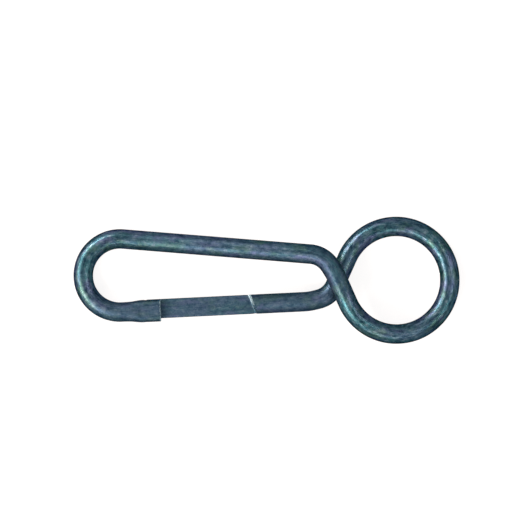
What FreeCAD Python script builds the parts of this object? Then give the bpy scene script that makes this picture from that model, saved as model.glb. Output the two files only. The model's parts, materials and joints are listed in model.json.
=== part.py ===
import FreeCAD, Part
import math
import os

from FreeCAD import Vector

# A snap hook bent from one length of round spring-steel wire.  The wire starts at a
# flattened nose, turns back in a round bow, runs along the back of the hook, crosses
# over itself at the neck, makes one turn as the eye and returns behind the neck as
# the gate arm, whose half-round tongue lies behind the nose.
#
# The origin is the centre of the eye.  The hook lies flat: X runs from the bow to the
# eye, Y across the hook from the gate to the back, and Z up.  Z = 0 is the middle of
# the wire in the gate, the bow and the near half of the eye.  The sizes are in mm.

# Wire and its bends
wire_diameter = 4.0
eye_inside_diameter = 18.0
bow_inside_radius = 5.5
neck_inside_radius = 3.0
strand_angle = 24.0  # both strands where they leave the eye, from square across the hook, in degrees
ease_length = 1.4  # each slight bend beside a tight one starts this far from its corner

# Outline of the hook
bow_reach = 56.6  # from the eye's centre to the bow's, along the hook
bow_offset = 0.95  # the bow's centre lies this far towards the back
crossing_height = 1.6  # the front strand's slight bend over the rear one, towards the back
crossing_turn = 10.5  # of that bend, in degrees
neck_height = 5.12  # where the front strand would meet the back limb
root_depth = 3.26  # the rear strand's tight bend behind the neck, towards the gate
root_run = 4.3  # from that bend to the slight one where the gate arm starts
root_angle = 15.0  # of the run between the two, from along the hook, in degrees
limb_level_length = 6.0  # the back limb comes down level with the bow in this length

# Nose, pressed flat from the round wire
nose_length = 8.1  # from the end of the bow to the cut end
nose_rise_angle = 2.4  # towards the inside of the hook, in degrees
nose_spread = 0.6  # pressing makes the nose this much wider than the wire
nose_pressing = 0.8  # and this much thinner
nose_press_length = 4.4  # the round wire changes to the flat in this length

# Gate
arm_length = 11.6  # from the slight bend at its root to the shoulder of the tongue
shoulder_slant = 20.0  # of the shoulder from square across the arm, in degrees
foot_radius = 0.5  # where the tongue's flat runs up into the shoulder
lap_length = 3.0  # of the tongue behind the nose
lap_step = 0.35  # the tongue's middle lies this far inside the nose's

# Clearances
lap_gap = 0.10  # between the nose and the tongue under it
tip_gap = 0.35  # from the end of the tongue to the step under the nose
strand_gap = 0.15  # between the strands where they cross
knuckle_gap = 0.08  # at the two cuts in the eye that stand for its flexing
knuckle_relief = 0.04  # the knuckle is this much smaller than the wire in radius

wire_radius = wire_diameter / 2
eye_radius = eye_inside_diameter / 2 + wire_radius
bow_radius = bow_inside_radius + wire_radius
neck_radius = neck_inside_radius + wire_radius
nose_width = wire_diameter + nose_spread
nose_thickness = wire_diameter - nose_pressing
beyond = 2 * (bow_reach + eye_radius)  # a length that passes every end of the hook
up = Vector(0, 0, 1)


def heading(degrees):
    """The flat direction at this angle from +X."""
    angle = math.radians(degrees)
    return Vector(math.cos(angle), math.sin(angle), 0)


def lifted(point, height):
    """The flat point, moved to this height."""
    return Vector(point.x, point.y, height)


def straight(start, end):
    """A straight run of the round wire."""
    run = end - start
    return Part.makeCylinder(wire_radius, run.Length, start, run)


def bend(corner, before, after, setback):
    """The round wire turning at a corner, with the points where the bend starts and ends."""
    way_in = (corner - before).normalize()
    way_out = (after - corner).normalize()
    start = corner - way_in * setback
    end = corner + way_out * setback
    axis = way_in.cross(way_out).normalize()
    turn = way_in.getAngle(way_out)
    centre = start + axis.cross(way_in) * (setback / math.tan(turn / 2))
    disc = Part.Face(Part.Wire(Part.makeCircle(wire_radius, start, way_in)))
    return disc.revolve(centre, axis, math.degrees(turn)), start, end


def setback_for(corner, before, after, radius):
    """How far from a corner a bend of this radius starts."""
    turn = (corner - before).getAngle(after - corner)
    return radius * math.tan(turn / 2)


def joined(*solids):
    """The solids of one node as one, without seams between faces that run on."""
    whole = solids[0].multiFuse(list(solids[1:])) if len(solids) > 1 else solids[0]
    return whole.removeSplitter().Solids[0]


# ---- The line of the wire, seen from above -------------------------------------


def eye_corner(degrees, half_turn):
    """The corner of the straight lines that touch the eye's circle half_turn each way."""
    return heading(degrees) * (eye_radius / math.cos(math.radians(half_turn)))


def eye_tangent_length(half_turn):
    return eye_radius * math.tan(math.radians(half_turn))


# The strands leave the eye's circle this far round it, on both sides
leave_angle = 180 - strand_angle
near_turn = 45.0  # each of two bends from the eye's end, at +X, to its foot or its top
strand_turn = (leave_angle - 90) / 2  # each of two bends from there to where a strand leaves
front_way = heading(90 + strand_angle)
rear_way = heading(-90 - strand_angle)
front_leave = heading(-leave_angle) * eye_radius
rear_leave = heading(leave_angle) * eye_radius
crossing_run = -front_leave.y / front_way.y  # from leaving the circle to the crossing


def along(start, way, y):
    """The point on a line from start at this distance from the middle line of the hook."""
    return start + way * ((y - start.y) / way.y)


crossing_corner = along(front_leave, front_way, crossing_height)
neck_way = heading(90 + strand_angle + crossing_turn)
neck_corner = along(crossing_corner, neck_way, neck_height)
root_corner = along(rear_leave, rear_way, -root_depth)
arm_corner = root_corner + heading(180 + root_angle) * root_run

# The back limb touches the bow's circle at its top
bow_centre = Vector(-bow_reach, bow_offset, 0)
from_bow = neck_corner - bow_centre
limb_lean = math.atan2(from_bow.y, from_bow.x) - math.asin(bow_radius / from_bow.Length)
limb_heading = math.degrees(limb_lean) - 180
limb_way = heading(limb_heading)
bow_top = bow_centre + heading(limb_heading - 90) * bow_radius
nose_way = heading(nose_rise_angle)
bow_foot = bow_centre + heading(nose_rise_angle - 90) * bow_radius
nose_across = up.cross(nose_way)
nose_end = bow_foot + nose_way * nose_length

# The gate arm points at the lap, just inside the nose's middle
lap_middle = nose_end - nose_way * (lap_length / 2) + nose_across * lap_step
gate_way = (lap_middle - arm_corner).normalize()
tongue_end = lap_middle + gate_way * (lap_length / 2)
shoulder = arm_corner + gate_way * arm_length

# ---- Its height ----------------------------------------------------------------

# The lower half of the eye climbs evenly, so that the front strand clears the rear one
near_tangent = eye_tangent_length(near_turn / 2)
strand_tangent = eye_tangent_length(strand_turn / 2)
climb_runs = [
    2 * near_tangent,
    near_tangent + strand_tangent,
    2 * strand_tangent,
    strand_tangent + crossing_run,
]
climb = (wire_diameter + strand_gap) / sum(climb_runs)
corner_turns = [near_turn, near_turn, strand_turn, strand_turn]
climb_corners = []
for count, turn in enumerate(corner_turns):
    middle_angle = sum(corner_turns[:count]) + turn / 2
    height = climb * sum(climb_runs[:count])
    climb_corners.append(lifted(eye_corner(-middle_angle, turn / 2), height))

last_corner = climb_corners[-1]
crossing_rise = (crossing_corner - last_corner).dot(front_way) * climb
crossing_corner = lifted(crossing_corner, last_corner.z + crossing_rise)
neck_rise = (neck_corner - crossing_corner).dot(neck_way) * climb
neck_corner = lifted(neck_corner, crossing_corner.z + neck_rise)
level_corner = bow_top - limb_way * (limb_level_length / 2)

# ---- The eye -------------------------------------------------------------------

eye_side = heading(0) * eye_radius
slope_length = math.hypot(1, climb)  # of the climbing wire, for each millimetre seen from above
strand_setback = strand_tangent * slope_length

first_bend, _, first_end = bend(climb_corners[0], eye_side, climb_corners[1], near_tangent)
second_bend, second_start, eye_foot = bend(
    climb_corners[1], climb_corners[0], climb_corners[2], near_tangent * slope_length
)
third_bend, _, _ = bend(climb_corners[2], climb_corners[1], climb_corners[3], strand_setback)
fourth_bend, _, front_start = bend(
    climb_corners[3], climb_corners[2], crossing_corner, strand_setback
)
foot_way = (climb_corners[2] - climb_corners[1]).normalize()

eye_top = heading(90) * eye_radius
upper_left_corner = eye_corner((90 + leave_angle) / 2, strand_turn)
upper_left, _, rear_start = bend(
    upper_left_corner,
    eye_top,
    upper_left_corner + rear_way,
    eye_tangent_length(strand_turn),
)
upper_right, _, _ = bend(
    eye_corner(near_turn, near_turn), eye_side, eye_top, eye_tangent_length(near_turn)
)

# The eye flexes as the one coil of a spring.  Its flexing is gathered at two upright
# axes, at the eye's foot and top: a round-ended knuckle on the half of the eye away
# from the hook turns in a cup in the stretch that it meets.
knuckle_radius = wire_radius - knuckle_relief


def knuckle(point, way):
    """The round end of the wire about an upright axis through the point."""
    post = Part.makeCylinder(knuckle_radius, beyond, point - up * (beyond / 2), up)
    return straight(point, point + way * wire_radius).common(post)


def cupped(solid, point):
    """The solid, hollowed for the knuckle that turns about the point."""
    radius = knuckle_radius + knuckle_gap
    return solid.cut(Part.makeCylinder(radius, beyond, point - up * (beyond / 2), up))


eye_lower_right = joined(
    first_bend,
    straight(first_end, second_start),
    second_bend,
    knuckle(eye_foot, foot_way),
)
eye_upper_right = joined(upper_right, knuckle(eye_top, Vector(-1, 0, 0)))
eye_lower_left = joined(cupped(joined(third_bend, fourth_bend), eye_foot))
eye_upper_left = joined(cupped(upper_left, eye_top))

# ---- The neck and the back of the hook -------------------------------------------

crossing_bend, crossing_start, crossing_end = bend(
    crossing_corner, front_start, neck_corner, ease_length
)
neck_setback = setback_for(neck_corner, crossing_corner, level_corner, neck_radius)
neck_bend, front_end, limb_start = bend(
    neck_corner, crossing_corner, level_corner, neck_setback
)
front_strand = joined(
    straight(front_start, crossing_start), crossing_bend, straight(crossing_end, front_end)
)
level_bend, limb_end, _ = bend(level_corner, neck_corner, bow_top, limb_level_length / 2)
back_limb = joined(straight(limb_start, limb_end), level_bend)

bow_disc = Part.Face(Part.Wire(Part.makeCircle(wire_radius, bow_top, limb_way)))
hook_bow = bow_disc.revolve(bow_centre, up, nose_rise_angle - limb_heading)

# ---- The nose ------------------------------------------------------------------


flat_angle = math.degrees(math.asin(nose_thickness / nose_width))


def nose_section(along_nose, half_width, pressed_flat):
    """A closed outline across the nose: two round sides, joined by flats or by more arcs."""
    middle = bow_foot + nose_way * along_nose

    def at(degrees):
        angle = math.radians(degrees)
        aside = nose_across * (half_width * math.cos(angle))
        return middle + aside + up * (half_width * math.sin(angle))

    def arc(start, end):
        return Part.Arc(at(start), at((start + end) / 2), at(end)).toShape()

    def face(start, end):
        return Part.makeLine(at(start), at(end)) if pressed_flat else arc(start, end)

    return Part.Wire(
        [
            arc(-flat_angle, flat_angle),
            face(flat_angle, 180 - flat_angle),
            arc(180 - flat_angle, 180 + flat_angle),
            face(180 + flat_angle, 360 - flat_angle),
        ]
    )


pressed = nose_section(nose_press_length, nose_width / 2, True)
press = Part.makeLoft([nose_section(0, wire_radius, False), pressed], True, True)
flat = Part.Face(pressed).extrude(nose_way * (nose_length - nose_press_length))
step_corner = nose_end - nose_way * (lap_length + tip_gap) - nose_across * nose_width
step_under_nose = Part.makeBox(
    beyond,
    2 * nose_width,
    nose_width,
    lifted(step_corner, lap_gap / 2 - nose_width),
)
step_under_nose.rotate(step_corner, up, nose_rise_angle)
nose_lip = joined(press, flat).cut(step_under_nose).Solids[0]

# ---- The gate ------------------------------------------------------------------

root_setback = setback_for(root_corner, rear_start, arm_corner, neck_radius)
root_turn, rear_end, root_end = bend(root_corner, rear_start, arm_corner, root_setback)
arm_turn, arm_turn_start, arm_start = bend(arm_corner, root_corner, shoulder, ease_length)
rear_strand = straight(rear_start, rear_end)
root_bend = joined(root_turn, straight(root_end, arm_turn_start), arm_turn)
gate_rod = straight(arm_start, tongue_end)

# Everything past the slanted shoulder, and what the cutter takes away there above the flat
gate_heading = math.degrees(math.atan2(gate_way.y, gate_way.x))
past_shoulder = Part.makeBox(beyond, 2 * beyond, 2 * beyond, Vector(0, -beyond, -beyond))
past_shoulder.rotate(Vector(0, 0, 0), up, gate_heading + shoulder_slant)
past_shoulder.translate(shoulder)

foot_middle = foot_radius * (1 - math.sqrt(0.5))  # of the foot's arc, from the shoulder and the flat
foot = [
    Vector(0, -beyond, foot_radius),
    Vector(foot_middle, -beyond, foot_middle),
    Vector(foot_radius, -beyond, 0),
]
far = [Vector(beyond, -beyond, 0), Vector(beyond, -beyond, beyond), Vector(0, -beyond, beyond)]
cutter_side = Part.Wire([Part.Arc(*foot).toShape(), *Part.makePolygon([foot[2], *far, foot[0]]).Edges])
milled_away = Part.Face(cutter_side).extrude(Vector(0, 2 * beyond, 0))
milled_away.rotate(Vector(0, 0, 0), up, gate_heading + shoulder_slant)
milled_away.translate(lifted(shoulder, -lap_gap / 2))

gate_arm = gate_rod.cut(past_shoulder)
gate_tongue = gate_rod.common(past_shoulder).cut(milled_away).Solids[0]

# ---- One file for each node ------------------------------------------------------

nodes = {
    "nose_lip": nose_lip,
    "hook_bow": hook_bow,
    "back_limb": back_limb,
    "neck_bend": neck_bend,
    "front_strand": front_strand,
    "eye_lower_left": eye_lower_left,
    "eye_lower_right": eye_lower_right,
    "eye_upper_right": eye_upper_right,
    "eye_upper_left": eye_upper_left,
    "rear_strand": rear_strand,
    "root_bend": root_bend,
    "gate_arm": gate_arm,
    "gate_tongue": gate_tongue,
}

os.makedirs("parts", exist_ok=True)
for name, shape in nodes.items():
    shape.exportStep(f"parts/{name}.step")
    print(f"{name:16} solids {len(shape.Solids)} valid {shape.isValid()} volume {shape.Volume:7.2f}")
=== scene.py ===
import json
import math

import bmesh
import bpy
import numpy as np
from mathutils import Euler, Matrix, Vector


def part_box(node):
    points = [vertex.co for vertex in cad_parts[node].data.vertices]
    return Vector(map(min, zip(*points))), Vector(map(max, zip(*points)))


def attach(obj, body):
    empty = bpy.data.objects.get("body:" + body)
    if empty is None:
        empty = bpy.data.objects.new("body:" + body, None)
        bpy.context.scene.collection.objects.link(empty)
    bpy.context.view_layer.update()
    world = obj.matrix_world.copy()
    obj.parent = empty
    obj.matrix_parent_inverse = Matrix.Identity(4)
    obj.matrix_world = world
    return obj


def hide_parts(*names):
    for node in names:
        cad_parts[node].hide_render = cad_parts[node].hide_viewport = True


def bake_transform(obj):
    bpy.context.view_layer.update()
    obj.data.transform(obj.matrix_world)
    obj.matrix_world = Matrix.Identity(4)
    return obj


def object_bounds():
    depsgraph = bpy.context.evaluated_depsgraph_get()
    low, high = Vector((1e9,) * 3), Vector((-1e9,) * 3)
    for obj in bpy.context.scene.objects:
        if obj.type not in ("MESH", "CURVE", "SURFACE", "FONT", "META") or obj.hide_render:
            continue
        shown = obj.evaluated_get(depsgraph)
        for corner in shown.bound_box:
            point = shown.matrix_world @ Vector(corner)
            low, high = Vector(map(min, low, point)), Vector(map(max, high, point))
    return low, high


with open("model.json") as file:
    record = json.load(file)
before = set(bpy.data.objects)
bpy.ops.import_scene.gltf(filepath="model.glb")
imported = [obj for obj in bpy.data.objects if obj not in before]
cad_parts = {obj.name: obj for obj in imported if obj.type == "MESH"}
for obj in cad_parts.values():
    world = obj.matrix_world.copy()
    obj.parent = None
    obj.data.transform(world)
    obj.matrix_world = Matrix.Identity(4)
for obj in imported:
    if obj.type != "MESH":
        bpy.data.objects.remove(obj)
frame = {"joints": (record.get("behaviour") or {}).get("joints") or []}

cad_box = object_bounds()


# ---- Camera --------------------------------------------------------------------------
# A long lens looks straight down on the hook as it lies flat, with the eye to the right
# and the back limb above.  The view is centred a little towards the back of the hook.

mm = 0.001
camera_height = 500 * mm
view_width_share = 1.347  # the view is this many times as wide as the hook is long
view_shift = Vector((-1.34 * mm, 4.12 * mm, 0))  # of its centre from the middle of the hook
view_width = view_width_share * (cad_box[1].x - cad_box[0].x)
view_centre = (cad_box[0] + cad_box[1]) / 2 + view_shift

lens = bpy.data.cameras.new("camera")
lens.lens = lens.sensor_width * camera_height / view_width
camera = bpy.data.objects.new("camera", lens)
camera.location = (view_centre.x, view_centre.y, camera_height)
bpy.context.scene.collection.objects.link(camera)
bpy.context.scene.camera = camera


# ---- Floor and light -----------------------------------------------------------------
# The hook lies on a plain white light table under an even, pale sky.  Long soft boxes
# stand round it, so that the round wire shows soft lines of light.


class Value:
    """A number from a node's socket, which can be used in sums and products."""

    def __init__(self, sketch, socket):
        self.sketch = sketch
        self.socket = socket

    def maths(self, operation, *values):
        sockets = dict(enumerate(values))
        return self.sketch.node("Math", {"operation": operation}, sockets).value("Value")

    def __add__(self, other):
        return self.maths("ADD", self, other)

    def __sub__(self, other):
        return self.maths("SUBTRACT", self, other)

    def __rsub__(self, other):
        return self.maths("SUBTRACT", other, self)

    def __mul__(self, other):
        return self.maths("MULTIPLY", self, other)

    __radd__ = __add__
    __rmul__ = __mul__


class Node:
    """A node, with its outputs at hand by name."""

    def __init__(self, sketch, node):
        self.sketch = sketch
        self.made = node

    def value(self, output):
        return Value(self.sketch, self.output(output))

    def output(self, name):
        shown = [s for s in self.made.outputs if s.enabled and s.name == name]
        return shown[0]


class Sketch:
    """Puts nodes into a material's or a world's tree, which starts empty."""

    def __init__(self, owner):
        owner.use_nodes = True
        self.tree = owner.node_tree
        self.tree.nodes.clear()

    def node(self, kind, settings=None, sockets=None):
        """A shader node of this kind, with its settings made first, and then its sockets."""
        made = self.tree.nodes.new("ShaderNode" + kind)
        for name, setting in (settings or {}).items():
            if name == "stops":
                self.set_stops(made.color_ramp, setting)
            else:
                setattr(made, name, setting)
        for name, value in (sockets or {}).items():
            if isinstance(name, str):
                target = [s for s in made.inputs if s.enabled and s.name == name][0]
            else:
                target = made.inputs[name]
            if isinstance(value, Value):
                value = value.socket
            if isinstance(value, bpy.types.NodeSocket):
                self.tree.links.new(value, target)
            else:
                target.default_value = value
        return Node(self, made)

    def set_stops(self, ramp, stops):
        while len(ramp.elements) < len(stops):
            ramp.elements.new(1.0)
        for element, (position, colour) in zip(ramp.elements, stops):
            element.position = position
            element.color = (*colour, 1)


floor_size = 8.0
floor_drop = 0.02 * mm
table_grey = (0.11, 0.11, 0.11, 1)  # of the table top, for light from above
table_glow = 0.85  # and its own light, from below
sky_brightness = 1.0
sky_stops = [  # from straight down, through the horizon at 0.5, to straight up
    (0.00, (0.95, 0.96, 0.97)),
    (0.55, (0.95, 0.96, 0.97)),
    (0.80, (0.86, 0.88, 0.90)),
    (1.00, (0.80, 0.82, 0.85)),
]
# Each soft box: the way to it round from +X and down from overhead, in degrees, its
# length and width, how its length is turned in degrees, and its power in watts
box_distance = 600 * mm
box_colour = (1.0, 0.79, 0.70)
soft_boxes = {
    "left box": (190, 54, (420 * mm, 50 * mm), 4, 5.4),
    "back left box": (138, 60, (400 * mm, 50 * mm), -12, 6.6),
    "front left box": (226, 44, (180 * mm, 50 * mm), 20, 3.6),
    "front box": (272, 44, (420 * mm, 80 * mm), 0, 1.8),
    "right box": (0, 35, (420 * mm, 50 * mm), 0, 1.6),
}

table = bpy.data.meshes.new("floor")
half = floor_size / 2
floor_z = cad_box[0].z - floor_drop
floor_corners = [(-half, -half), (half, -half), (half, half), (-half, half)]
table.from_pydata([(x, y, floor_z) for x, y in floor_corners], [], [(0, 1, 2, 3)])
floor = bpy.data.objects.new("floor", table)
bpy.context.scene.collection.objects.link(floor)

table_top = bpy.data.materials.new("white table top")
sketch = Sketch(table_top)
surface = sketch.node(
    "BsdfPrincipled",
    sockets={
        "Base Color": table_grey,
        "Roughness": 0.9,
        "Specular IOR Level": 0.0,
        "Emission Color": (1, 1, 1, 1),
        "Emission Strength": table_glow,
    },
)
sketch.node("OutputMaterial", sockets={"Surface": surface.output("BSDF")})
table.materials.append(table_top)

sky = bpy.data.worlds.new("pale sky")
bpy.context.scene.world = sky
sketch = Sketch(sky)
direction = sketch.node("TexCoord").output("Generated")
height = sketch.node("SeparateXYZ", sockets={"Vector": direction}).value("Z")
sky_colour = sketch.node(
    "ValToRGB", {"stops": sky_stops}, {"Fac": height * 0.5 + 0.5}
).output("Color")
glow = sketch.node("Background", sockets={"Color": sky_colour, "Strength": sky_brightness})
sketch.node("OutputWorld", sockets={"Surface": glow.output("Background")})

for name, (around, down, (length, width), turned, power) in soft_boxes.items():
    lamp = bpy.data.lights.new(name, "AREA")
    lamp.shape = "RECTANGLE"
    lamp.size = length
    lamp.size_y = width
    lamp.energy = power
    lamp.color = box_colour
    box = bpy.data.objects.new(name, lamp)
    leaning = Euler((0, math.radians(down), math.radians(around))).to_matrix()
    spinning = Euler((0, 0, math.radians(90 + turned))).to_matrix()
    box.rotation_euler = (leaning @ spinning).to_euler()
    box.location = view_centre + leaning @ Vector((0, 0, box_distance))
    bpy.context.scene.collection.objects.link(box)

bpy.context.scene.view_settings.view_transform = "Standard"


# ---- Eye, the half on the hook's side ------------------------------------------------
# The eye is the one coil of the spring that closes the gate.  This half starts at the
# strand that crosses in front and comes down to the level of the gate.  Its wire is
# round spring steel, drawn, coiled cold, hardened and blued.

pivots = {joint["name"]: Vector(joint["pos_m"]) for joint in frame["joints"]}
eye_foot = pivots["eye_flex"]
eye_top = pivots["gate_flex"]
eye_radius = eye_top.y
wire_radius = 2.0 * mm
leave_angle = 156.0  # the strands leave the eye's circle this far round it, in degrees
near_turn = 45.0  # each of two bends from the eye's end to its foot
strand_turn = (leave_angle - 90) / 2  # each of two bends from there to the strand
crossing_height = 1.6 * mm  # the front strand's slight bend, towards the back


def heading(degrees):
    """The flat direction at this angle from +X."""
    angle = math.radians(degrees)
    return Vector((math.cos(angle), math.sin(angle), 0))


def lifted(point, height):
    """The flat point, moved to this height."""
    return Vector((point.x, point.y, height))


def along(start, way, y):
    """The point on a line from start at this distance from the middle line of the hook."""
    return start + way * ((y - start.y) / way.y)


def tangent_length(turn):
    """From the eye's circle to the corner of two straight lines that touch it."""
    return eye_radius * math.tan(math.radians(turn / 2))


def eye_corner(degrees, turn):
    return heading(degrees) * (eye_radius / math.cos(math.radians(turn / 2)))


front_leave = heading(-leave_angle) * eye_radius
front_way = heading(270 - leave_angle)
climb = eye_foot.z / (3 * tangent_length(near_turn))  # the wire's rise for its run
climb_corners = []
run_before = 0
for turn, middle in (
    (near_turn, near_turn / 2),
    (near_turn, 1.5 * near_turn),
    (strand_turn, 90 + strand_turn / 2),
    (strand_turn, 90 + 1.5 * strand_turn),
):
    if climb_corners:
        run_before += tangent_length(turn)
    climb_corners.append(lifted(eye_corner(-middle, turn), climb * run_before))
    run_before += tangent_length(turn)
front_leave.z = climb * run_before


def bent_wire_tree():
    """Geometry nodes for round wire: it follows a row of corners and bends at each one."""
    tree = bpy.data.node_groups.new("bent wire", "GeometryNodeTree")
    tree.interface.new_socket("Corners", in_out="INPUT", socket_type="NodeSocketGeometry")
    for name, kind, value in (
        ("Wire Radius", "NodeSocketFloat", 2.0 * mm),
        ("Sides", "NodeSocketInt", 96),
        ("Points in a Bend", "NodeSocketInt", 72),
        ("Spacing", "NodeSocketFloat", 0.15 * mm),
        ("Length Before", "NodeSocketFloat", 0.0),
        ("Unevenness", "NodeSocketFloat", 0.02 * mm),
        ("Uneven Scale", "NodeSocketFloat", 380.0),
    ):
        socket = tree.interface.new_socket(name, in_out="INPUT", socket_type=kind)
        socket.default_value = value
    tree.interface.new_socket("Finish", in_out="INPUT", socket_type="NodeSocketMaterial")
    tree.interface.new_socket("Wire", in_out="OUTPUT", socket_type="NodeSocketGeometry")

    def node(kind, settings=None, **sockets):
        made = tree.nodes.new(kind)
        for name, setting in (settings or {}).items():
            setattr(made, name, setting)
        for name, value in sockets.items():
            target = [s for s in made.inputs if s.enabled and s.name == name.replace("_", " ")]
            if isinstance(value, bpy.types.NodeSocket):
                tree.links.new(value, target[0])
            else:
                target[0].default_value = value
        return made

    def capture(geometry, kind, value):
        made = tree.nodes.new("GeometryNodeCaptureAttribute")
        made.capture_items.new(kind, "kept")
        tree.links.new(geometry, made.inputs[0])
        tree.links.new(value, made.inputs[1])
        return made.outputs[0], made.outputs[1]

    given = node("NodeGroupInput").outputs
    points = node("GeometryNodeMeshToPoints", Mesh=given["Corners"]).outputs[0]
    order = node("GeometryNodeInputIndex").outputs[0]
    line = node("GeometryNodePointsToCurves", Points=points, Weight=order).outputs[0]
    bend = node("GeometryNodeInputNamedAttribute", {"data_type": "FLOAT"}, Name="bend radius")
    filleted = node(
        "GeometryNodeFilletCurve",
        {"mode": "POLY"},
        Curve=line,
        Count=given["Points in a Bend"],
        Radius=bend.outputs[0],
        Limit_Radius=True,
    ).outputs[0]
    even = node(
        "GeometryNodeResampleCurve",
        {"mode": "LENGTH"},
        Curve=filleted,
        Length=given["Spacing"],
    ).outputs[0]
    level = node("GeometryNodeSetCurveNormal", {"mode": "Z_UP"}, Curve=even).outputs[0]
    length = node("GeometryNodeSplineParameter").outputs["Length"]
    path, length = capture(level, "FLOAT", length)
    ring = node(
        "GeometryNodeCurvePrimitiveCircle",
        {"mode": "RADIUS"},
        Resolution=given["Sides"],
        Radius=given["Wire Radius"],
    ).outputs[0]
    place = node("GeometryNodeInputPosition").outputs[0]
    ring, across = capture(ring, "VECTOR", place)
    swept = node("GeometryNodeCurveToMesh", Curve=path, Profile_Curve=ring, Fill_Caps=True)
    wire = swept.outputs[0]
    total = node("ShaderNodeMath", {"operation": "ADD"})
    tree.links.new(length, total.inputs[0])
    tree.links.new(given["Length Before"], total.inputs[1])
    parts = node("ShaderNodeSeparateXYZ", Vector=across).outputs
    unbent = node("ShaderNodeCombineXYZ", X=parts[0], Y=parts[1], Z=total.outputs[0])
    straight = unbent.outputs[0]
    named = node(
        "GeometryNodeStoreNamedAttribute",
        {"data_type": "FLOAT_VECTOR", "domain": "POINT"},
        Geometry=wire,
        Name="straight",
        Value=straight,
    ).outputs[0]
    waves = node(
        "ShaderNodeTexNoise", Vector=straight, Scale=given["Uneven Scale"], Detail=2.0
    ).outputs[0]
    around = node("ShaderNodeMath", {"operation": "SUBTRACT"})
    tree.links.new(waves, around.inputs[0])
    around.inputs[1].default_value = 0.5
    amount = node("ShaderNodeMath", {"operation": "MULTIPLY"})
    tree.links.new(around.outputs[0], amount.inputs[0])
    tree.links.new(given["Unevenness"], amount.inputs[1])
    outwards = node("GeometryNodeInputNormal").outputs[0]
    push = node("ShaderNodeVectorMath", {"operation": "SCALE"}, Scale=amount.outputs[0])
    tree.links.new(outwards, push.inputs[0])
    moved = node("GeometryNodeSetPosition", Geometry=named, Offset=push.outputs[0]).outputs[0]
    whole = node("GeometryNodeRealizeInstances", Geometry=moved).outputs[0]
    finished = node(
        "GeometryNodeSetMaterial", Geometry=whole, Material=given["Finish"]
    ).outputs[0]
    tree.links.new(finished, node("NodeGroupOutput").inputs[0])
    return tree


wire_tree = bent_wire_tree()


def wire_piece(name, corners, setbacks, finish, starts_at=None, ends_at=None):
    """Wire along these corners, and its length.  Each bend starts a setback from its corner."""
    radii = [0]
    length = sum((b - a).length for a, b in zip(corners, corners[1:]))
    for before, corner, after, setback in zip(corners, corners[1:], corners[2:], setbacks):
        turn = (corner - before).angle(after - corner)
        radius = setback / math.tan(turn / 2)
        length += radius * turn - 2 * setback
        radii.append(radius)
    path = bpy.data.meshes.new(name)
    path.from_pydata([tuple(c) for c in corners], [], [])
    bend_radius = path.attributes.new("bend radius", "FLOAT", "POINT")
    bend_radius.data.foreach_set("value", [*radii, 0])
    piece = bpy.data.objects.new(name, path)
    bpy.context.scene.collection.objects.link(piece)
    modifier = piece.modifiers.new("bent wire", "NODES")
    modifier.node_group = wire_tree
    sockets = {s.name: s.identifier for s in wire_tree.interface.items_tree}
    modifier[sockets["Length Before"]] = ends_at - length if starts_at is None else starts_at
    modifier[sockets["Finish"]] = finish
    bpy.context.view_layer.update()
    drawn = piece.evaluated_get(bpy.context.evaluated_depsgraph_get())
    solid = bpy.data.meshes.new_from_object(drawn)
    piece.modifiers.clear()
    piece.data = solid
    return piece, length


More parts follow.
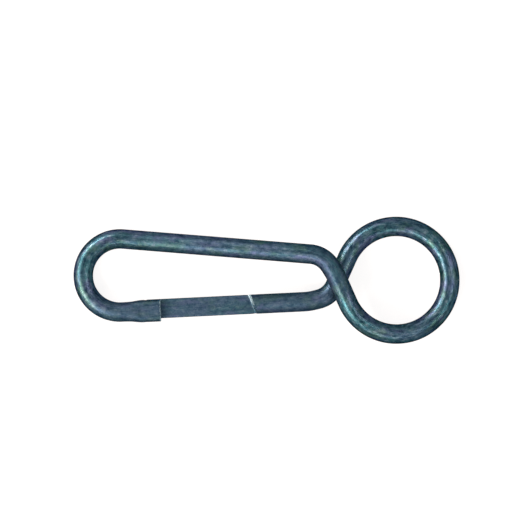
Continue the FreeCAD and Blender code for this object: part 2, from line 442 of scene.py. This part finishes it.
def blued_steel(name, highlight_and_wear_share):
    """Blued spring steel: drawing lines along the wire, mottled oxide colours, worn edges, and
    painted highlights on the nose's cut end and the tongue's shoulder.
    """
    finish = bpy.data.materials.new(name)
    sketch = Sketch(finish)
    straight = sketch.node(
        "Attribute", {"attribute_type": "GEOMETRY", "attribute_name": "straight"}
    ).output("Vector")
    rubbed = sketch.node(
        "Attribute", {"attribute_type": "GEOMETRY", "attribute_name": "rubbed"}
    ).value("Fac")
    dulled = sketch.node(
        "Attribute", {"attribute_type": "GEOMETRY", "attribute_name": "dulled"}
    ).value("Fac")

    def cloud(per_mm_across, per_mm_along, detail=3.0, roughness=0.55, shift=0.0):
        """Noise on the wire as it was before bending, finer across than along."""
        across, length = per_mm_across / mm, per_mm_along / mm
        place = sketch.node(
            "Mapping",
            {"vector_type": "POINT"},
            {
                "Vector": straight,
                "Location": (shift, shift, shift),
                "Scale": (across, across, length),
            },
        ).output("Vector")
        return sketch.node(
            "TexNoise",
            sockets={"Vector": place, "Scale": 1.0, "Detail": detail, "Roughness": roughness},
        ).value("Fac")

    def rising(value, low, high):
        """0 at low, 1 at high, and an even rise between."""
        span = sketch.node(
            "MapRange",
            {"clamp": True},
            {"Value": value, "From Min": low, "From Max": high},
        )
        return span.value("Result")

    def mixed(share, first, second):
        return sketch.node(
            "Mix",
            {"data_type": "RGBA"},
            {"Factor": share, "A": first, "B": second},
        ).output("Result")

    teal = (0.024, 0.072, 0.086, 1)
    slate = (0.039, 0.070, 0.111, 1)
    violet = (0.051, 0.064, 0.126, 1)
    moss = (0.032, 0.074, 0.059, 1)
    dull_slate = (0.017, 0.035, 0.058, 1)
    navy = (0.003, 0.017, 0.032, 1)
    pale = (0.108, 0.155, 0.190, 1)
    # bare steel at worn edges, and the colour of the painted highlights at the cut end and the
    # shoulder
    bare_steel_and_highlight = (0.42, 0.60, 0.66, 1)

    broad = cloud(0.30, 0.13)
    mossy = cloud(0.45, 0.22, shift=7.0)
    purple = cloud(0.50, 0.18, shift=19.0)
    blotches = cloud(1.20, 0.75, detail=4.0, roughness=0.62, shift=23.0)
    streaks = cloud(2.6, 0.12, detail=4.0, roughness=0.65, shift=3.0)
    fine_streaks = cloud(8.0, 0.45, detail=2.0, shift=5.0)
    grit = cloud(3.4, 3.0, detail=3.0, roughness=0.75, shift=11.0)
    specks = cloud(3.6, 1.2, detail=3.0, roughness=0.7, shift=29.0)

    colour = mixed(rising(broad, 0.40, 0.60), teal, slate)
    colour = mixed(rising(purple, 0.52, 0.64) * 0.85, colour, violet)
    colour = mixed(rising(mossy, 0.52, 0.64) * 0.8, colour, moss)
    colour = mixed(rising(blotches, 0.50, 0.34) * 0.85, colour, navy)
    colour = mixed(rising(blotches, 0.54, 0.70) * 0.65, colour, pale)
    colour = mixed(rising(streaks, 0.50, 0.34) * 0.55, colour, navy)
    colour = mixed(rising(specks, 0.55, 0.70) * 0.6, colour, pale)
    colour = mixed(rising(grit, 0.54, 0.68) * 0.85, colour, navy)
    colour = mixed(dulled * 0.55, colour, dull_slate)
    # worn edges, and painted highlights where the nose's cut end and the tongue's shoulder catch
    # the light
    wear_and_highlight = rising(rubbed + (streaks - 0.5) * 0.9 + (grit - 0.5) * 0.8, 0.55, 0.95)
    colour = mixed(wear_and_highlight * highlight_and_wear_share, colour, bare_steel_and_highlight)

    height = streaks * 0.50 + fine_streaks * 0.16 + grit * 0.10 + blotches * 0.25
    bump = sketch.node(
        "Bump",
        sockets={"Height": height, "Strength": 1.0, "Distance": 0.05 * mm},
    ).output("Normal")
    patchy = rising(streaks * 0.3 + grit * 0.3 + blotches * 0.4, 0.36, 0.62)
    roughness = patchy * 0.14 + dulled * 0.20 + 0.30
    surface = sketch.node(
        "BsdfPrincipled",
        sockets={
            "Base Color": colour,
            "Metallic": 1.0,
            "Roughness": roughness,
            "Specular Tint": (0.13, 0.13, 0.14, 1),
            "Normal": bump,
        },
    ).output("BSDF")
    sketch.node("OutputMaterial", sockets={"Surface": surface})
    return finish


def dull(piece, shares):
    """How much darker and rougher the wire is made along its length: a share of 0 to 1 at each of
    these lengths.
    """
    mesh = piece.data
    places = np.zeros(len(mesh.vertices) * 3)
    mesh.attributes["straight"].data.foreach_get("vector", places)
    dulled = mesh.attributes.new("dulled", "FLOAT", "POINT")
    dulled.data.foreach_set("value", np.interp(places[2::3], list(shares), list(shares.values())))


blued_wire = blued_steel("blued wire", highlight_and_wear_share=0.4)

front_half, front_half_length = wire_piece(
    "eye_front_half",
    [front_leave, *reversed(climb_corners), heading(0) * eye_radius],
    [
        tangent_length(strand_turn) * math.hypot(1, climb),
        tangent_length(strand_turn) * math.hypot(1, climb),
        tangent_length(near_turn) * math.hypot(1, climb),
        tangent_length(near_turn),
    ],
    blued_wire,
    ends_at=0,
)
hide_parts("eye_lower_left", "eye_lower_right")
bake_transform(front_half)


# ---- Eye, the half on the gate's side ------------------------------------------------
# The rest of the coil, which lies level.  It ends where the strand to the gate leaves
# the round, behind the crossing.

rear_leave = heading(leave_angle) * eye_radius
rear_way = heading(leave_angle + 90)

rear_half, rear_half_length = wire_piece(
    "eye_rear_half",
    [
        heading(0) * eye_radius,
        eye_corner(near_turn / 2, near_turn),
        eye_corner(1.5 * near_turn, near_turn),
        eye_corner(90 + strand_turn / 2, strand_turn),
        eye_corner(90 + 1.5 * strand_turn, strand_turn),
        rear_leave,
    ],
    [
        tangent_length(near_turn),
        tangent_length(near_turn),
        tangent_length(strand_turn),
        tangent_length(strand_turn),
    ],
    blued_wire,
    starts_at=0,
)
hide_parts("eye_upper_right", "eye_upper_left")
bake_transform(rear_half)


# ---- Front strand, neck, back limb and bow -------------------------------------------
# The stiff side of the hook, one unbroken stretch of the same wire.  It crosses over the
# gate's strand, turns tightly at the neck, comes down along the back and rounds the bow.

bow_low, bow_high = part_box("hook_bow")
bow_radius = (bow_high.y - bow_low.y) / 2 - wire_radius
bow_centre = Vector((bow_low.x + bow_radius + wire_radius, (bow_low.y + bow_high.y) / 2, 0))
ease_length = 1.4 * mm  # each slight bend starts this far from its corner
crossing_turn = 10.5  # of the front strand's slight bend, in degrees
neck_height = 5.12 * mm  # where the front strand would meet the back limb
neck_radius = 5.0 * mm
limb_level_length = 6.0 * mm  # the back limb comes down level with the bow in this length
nose_rise_angle = 2.4  # of the nose towards the inside of the hook, in degrees

crossing_corner = along(front_leave, front_way, crossing_height)
neck_way = heading(270 - leave_angle + crossing_turn)
neck_corner = along(crossing_corner, neck_way, neck_height)
crossing_corner.z = front_leave.z + climb * (crossing_corner - front_leave).dot(front_way)
neck_corner.z = crossing_corner.z + climb * (neck_corner - crossing_corner).dot(neck_way)

from_bow = lifted(neck_corner, 0) - bow_centre
limb_lean = math.atan2(from_bow.y, from_bow.x) - math.asin(bow_radius / from_bow.length)
limb_heading = math.degrees(limb_lean) - 180
bow_top = bow_centre + heading(limb_heading - 90) * bow_radius
level_corner = bow_top - heading(limb_heading) * (limb_level_length / 2)
nose_way = heading(nose_rise_angle)
bow_foot = bow_centre + heading(nose_rise_angle - 90) * bow_radius
bow_turn = nose_rise_angle - limb_heading
bow_corner_reach = bow_radius / math.cos(math.radians(bow_turn / 4))
bow_corners = [
    bow_centre + heading(nose_rise_angle - 90 - bow_turn * part) * bow_corner_reach
    for part in (0.25, 0.75)
]
bow_setback = bow_radius * math.tan(math.radians(bow_turn / 4))
neck_turn = (crossing_corner - neck_corner).angle(neck_corner - level_corner)

limbs, limbs_length = wire_piece(
    "hook_wire",
    [
        bow_foot,
        *bow_corners,
        level_corner,
        neck_corner,
        crossing_corner,
        front_leave,
    ],
    [
        bow_setback,
        bow_setback,
        limb_level_length / 2,
        neck_radius * math.tan(neck_turn / 2),
        ease_length,
    ],
    blued_wire,
    ends_at=-front_half_length,
)
bow_foot_at = -front_half_length - limbs_length
bow_top_at = bow_foot_at + bow_radius * math.radians(bow_turn)
dull(
    limbs,
    {
        bow_foot_at: 1.0,
        bow_foot_at + 9 * mm: 0.0,
        bow_top_at - 4 * mm: 0.0,
        bow_top_at + 6 * mm: 0.6,
        -front_half_length - 14 * mm: 0.5,
        -front_half_length - 5 * mm: 0.8,
        -front_half_length: 0.0,
    },
)
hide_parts("hook_bow", "back_limb", "neck_bend", "front_strand")
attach(limbs, "hook")


# ---- Nose ----------------------------------------------------------------------------
# The wire's end past the bow, pressed flat above and below, with a half lap milled under
# its tip for the tongue.  It is sheared square, and the shear has rolled its top edge.

nose_length = 8.1 * mm
nose_half_width = 2.3 * mm
nose_half_thickness = 1.6 * mm
nose_press_length = 4.4 * mm
lap_length = 3.0 * mm
lap_gap = 0.10 * mm
tip_gap = 0.35 * mm
pressed_corner = 0.40 * mm  # radius of the pressed edges at the tip
soft_corner = 1.20 * mm  # and where the pressing starts
rolled_edge = 0.45 * mm  # length of the cut end's rolled top edge
rolled_depth = 0.27 * mm  # and how far down it goes
sheared_edge = 0.12 * mm  # radius of the cut end's other edges
nose_middle = 0.75 * mm  # a height that is inside the metal all along the nose
pressed_wear = 0.3  # how far the oxide is rubbed off along the pressed edges
cut_end_bare_and_highlight = 0.85  # and how bright the cut end is painted: bare cut steel, with a painted highlight
cut_end_highlight_length = 0.6 * mm
ring_sides = 160
same_place = 0.0001 * mm  # points of two rings that are this close are one point


def outline(radius, low, high, corner, centre_height):
    """Points round a wire cut off at two heights, and how near each is to a rounded corner."""
    angles = np.linspace(0, 2 * np.pi, ring_sides, endpoint=False)
    ways = np.stack([np.cos(angles), np.sin(angles)], axis=1)
    middle = np.array([0, centre_height])

    def faces(reach):
        spots = middle + ways * reach[:, None]
        round_face = np.linalg.norm(spots, axis=1) - radius
        return np.stack([round_face, spots[:, 1] - high, low - spots[:, 1]], axis=1)

    near, far = np.zeros(ring_sides), np.full(ring_sides, 3 * radius)
    for _ in range(36):  # each time round halves the stretch that the outline is in
        reach = (near + far) / 2
        depths = faces(reach)
        # Where two faces meet, the depth is measured from the middle of the rounded corner
        inside = np.minimum(-corner, depths.max(axis=1))
        inside = inside + np.linalg.norm(np.maximum(depths + corner, 0), axis=1) < 0
        near, far = np.where(inside, reach, near), np.where(inside, far, reach)
    second = np.sort(faces(near), axis=1)[:, 1]
    edge_reach = 1.6 * corner
    return middle + ways * near[:, None], np.clip(1 + second / edge_reach, 0, 1)


def lofted(name, stations, finish):
    """A closed solid through rings of points, each with its straight places and its shares of
    wear and painted highlight.
    """
    rings = len(stations)
    points = np.concatenate([s[0] for s in stations])
    mesh = bpy.data.meshes.new(name)
    faces = []
    for ring in range(rings - 1):
        for side in range(ring_sides):
            a = ring * ring_sides + side
            b = ring * ring_sides + (side + 1) % ring_sides
            faces.append((a, b, b + ring_sides, a + ring_sides))
    faces.append(tuple(reversed(range(ring_sides))))
    faces.append(tuple(range((rings - 1) * ring_sides, rings * ring_sides)))
    mesh.from_pydata(points.tolist(), [], faces)
    places = mesh.attributes.new("straight", "FLOAT_VECTOR", "POINT")
    places.data.foreach_set("vector", np.concatenate([s[1] for s in stations]).ravel())
    shares = mesh.attributes.new("rubbed", "FLOAT", "POINT")
    shares.data.foreach_set("value", np.concatenate([s[2] for s in stations]))
    shell = bmesh.new()
    shell.from_mesh(mesh)
    bmesh.ops.remove_doubles(shell, verts=shell.verts, dist=same_place)
    shell.to_mesh(mesh)
    shell.free()
    mesh.materials.append(finish)
    mesh.validate()
    mesh.shade_smooth()
    mesh.set_sharp_from_angle(angle=math.radians(38))
    piece = bpy.data.objects.new(name, mesh)
    bpy.context.scene.collection.objects.link(piece)
    return piece


def placed(spots, start, way, distance, slant=0.0):
    """Points of an outline, put across a run of the wire at this distance along it."""
    aside = Vector((0, 0, 1)).cross(way)
    shift = distance + spots[:, :1] * slant
    base = np.array(start)[None, :] + shift * np.array(way)[None, :]
    flat = base + spots[:, :1] * np.array(aside)[None, :]
    return flat + spots[:, 1:] * np.array([[0, 0, 1]])


cut_steel = blued_steel("blued cut steel", highlight_and_wear_share=0.6)

nose_stations = []
step_at = nose_length - lap_length - tip_gap
before_step = np.linspace(0, step_at, 60)
after_step = np.linspace(step_at, nose_length - rolled_edge, 34)
round_end = nose_length - rolled_edge * (1 - np.sin(np.linspace(0, np.pi / 2, 10)[1:]))
for distance, lapped in (
    *((d, False) for d in before_step),
    *((d, True) for d in (*after_step, *round_end)),
):
    run = min(distance / nose_press_length, 1)
    pressed = run * run * (3 - 2 * run)  # from 0 to 1, with a soft start and end
    radius = wire_radius + pressed * pressed * (nose_half_width - wire_radius)
    corner = soft_corner + pressed * (pressed_corner - soft_corner)
    half_height = radius + corner + pressed * (nose_half_thickness - radius - corner)
    to_end = nose_length - distance
    roll = max(0, 1 - to_end / rolled_edge)
    drop = rolled_depth * (1 - math.sqrt(max(0, 1 - roll * roll)))
    shear = max(0, 1 - to_end / sheared_edge)
    trim = sheared_edge * (1 - math.sqrt(max(0, 1 - shear * shear)))
    low = lap_gap / 2 + trim if lapped else -half_height
    spots, nearness = outline(radius - trim, low, half_height - drop, corner, nose_middle)
    places = placed(spots, bow_foot, nose_way, distance)
    lengths = np.full(ring_sides, bow_foot_at - distance)
    straight = np.stack([spots[:, 0], spots[:, 1], lengths], axis=1)
    # Towards the cut end the colour is painted bright: bare cut steel, and a painted highlight
    # where the end catches the light.
    cut_end_highlight_share = max(0, 1 - to_end / cut_end_highlight_length)
    rubbed = np.maximum(nearness * pressed * pressed_wear, cut_end_highlight_share * cut_end_bare_and_highlight)
    nose_stations.append((places, straight, rubbed))

nose = lofted("nose", nose_stations, cut_steel)
dull(nose, {bow_foot_at: 1.0})
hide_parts("nose_lip")
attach(nose, "hook")


# ---- Rear strand, root bend and gate arm ---------------------------------------------
# The springing side.  The wire leaves the eye behind the crossing, turns tightly to run
# along the hook, and is straight and round up to the tongue.

root_depth = 3.26 * mm  # the tight bend behind the neck, towards the gate
root_run = 4.3 * mm  # from that bend to the slight one where the arm starts
root_angle = 15.0  # of the run between the two, in degrees
arm_length = 11.6 * mm
lap_step = 0.35 * mm  # the tongue's middle lies this far inside the nose's
round_end_length = 2.0 * mm  # of the round arm that is made with the tongue

root_corner = along(rear_leave, rear_way, -root_depth)
arm_corner = root_corner + heading(180 + root_angle) * root_run
nose_end = bow_foot + nose_way * nose_length
nose_across = Vector((0, 0, 1)).cross(nose_way)
lap_middle = nose_end - nose_way * (lap_length / 2) + nose_across * lap_step
gate_way = (lap_middle - arm_corner).normalized()
shoulder = arm_corner + gate_way * arm_length
root_turn = (root_corner - rear_leave).angle(arm_corner - root_corner)

arm, arm_piece_length = wire_piece(
    "gate_wire",
    [rear_leave, root_corner, arm_corner, shoulder - gate_way * round_end_length],
    [neck_radius * math.tan(root_turn / 2), ease_length],
    blued_wire,
    starts_at=rear_half_length,
)
root_at = rear_half_length + (root_corner - rear_leave).length
dull(arm, {root_at - 3 * mm: 0.0, root_at + 3 * mm: 1.0})
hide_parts("rear_strand", "root_bend", "gate_arm")
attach(arm, "gate")


# ---- Tongue --------------------------------------------------------------------------
# The end of the gate's wire, milled half-round on a slant so that it lies behind the
# nose.  The cutter leaves a rounded foot at the shoulder and shallow nicks beside it.

tongue_length = (lap_middle - shoulder).length + lap_length / 2
shoulder_slant = 20.0  # from square across the arm, in degrees
foot_radius = 0.5 * mm  # where the flat runs up into the shoulder
shoulder_edge = 0.25 * mm
flat_edge = 0.25 * mm
tip_edge = 0.30 * mm
tongue_middle = -1.0 * mm  # a height that is inside the metal all along the tongue
upright_share = 0.6  # of the tongue's length, past which its sections stand square
nick_depth = 0.07 * mm
nick_place = 0.35 * mm  # past the shoulder
nick_reach = 0.30 * mm
line_place = 0.05 * mm  # of the bright line along the shoulder: oxide rubbed off by the cutter, and a painted highlight where the shoulder faces the light
line_reach = 0.36 * mm
line_wear_and_highlight = 0.72  # how bright that line is painted in its middle: rubbed oxide and painted highlight
line_highlight_change = 0.50  # and how much brighter or darker it is at the line's two ends, a painted highlight stronger at one end
most_line_wear_and_highlight = 1.2
milled_wear = 0.2  # along the milled edges
tip_wear_length = 0.5 * mm

slant = math.tan(math.radians(shoulder_slant))
flat_height = -lap_gap / 2
under = -1.5 * wire_radius  # below the wire, so that nothing is cut off there
shoulder_at = rear_half_length + arm_piece_length + round_end_length  # along the wire


def cut_height(distance):
    """How high the wire is left at this distance past the shoulder."""
    if distance >= foot_radius:
        return flat_height
    if distance >= 0:
        into = 1 - distance / foot_radius
        return flat_height + foot_radius * (1 - math.sqrt(1 - into * into))
    return wire_radius + flat_edge


stations_along = np.concatenate(
    [
        np.linspace(-round_end_length, -shoulder_edge, 14),
        np.linspace(-shoulder_edge, 0, 6)[1:-1],
        foot_radius * (1 - np.cos(np.linspace(0, np.pi / 2, 16))),
        np.linspace(foot_radius, tongue_length - tip_edge, 150)[1:],
        tongue_length - tip_edge * (1 - np.sin(np.linspace(0, np.pi / 2, 8)[1:])),
    ]
)
tongue_stations = []
for distance in stations_along:
    before = min(max(-distance / round_end_length, 0), 1)
    after = min(max(distance / (tongue_length * upright_share), 0), 1)
    lean = -slant * (1 - max(before, after))
    to_end = tongue_length - distance
    tip = max(0, 1 - to_end / tip_edge)
    trim = tip_edge * (1 - math.sqrt(max(0, 1 - tip * tip)))
    nick = nick_depth * math.exp(-(((distance - nick_place) / nick_reach) ** 2))
    high = cut_height(distance) - trim
    if distance < 0:
        edge = max(0, 1 + distance / shoulder_edge)
        high -= shoulder_edge * (1 - math.sqrt(1 - edge * edge))
    spots, nearness = outline(wire_radius - nick - trim, under, high, flat_edge, tongue_middle)
    places = placed(spots, shoulder, gate_way, distance, lean)
    lengths = shoulder_at + distance + spots[:, 0] * lean
    straight = np.stack([spots[:, 0], spots[:, 1], lengths], axis=1)
    # The bright line along the shoulder is rubbed oxide and a painted highlight, stronger at one
    # end, where the shoulder faces the light.
    line = math.exp(-(((distance - line_place) / line_reach) ** 2))
    wear_and_highlight = line_wear_and_highlight - line_highlight_change * spots[:, 0] / wire_radius
    at_tip = max(0, 1 - to_end / tip_wear_length)
    rubbed = np.maximum(line * np.clip(wear_and_highlight, 0, most_line_wear_and_highlight), nearness * milled_wear)
    tongue_stations.append((places, straight, np.maximum(rubbed, at_tip)))

tongue = lofted("gate_tongue_half_round", tongue_stations, cut_steel)
dull(tongue, {root_at: 1.0})
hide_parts("gate_tongue")
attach(tongue, "gate")
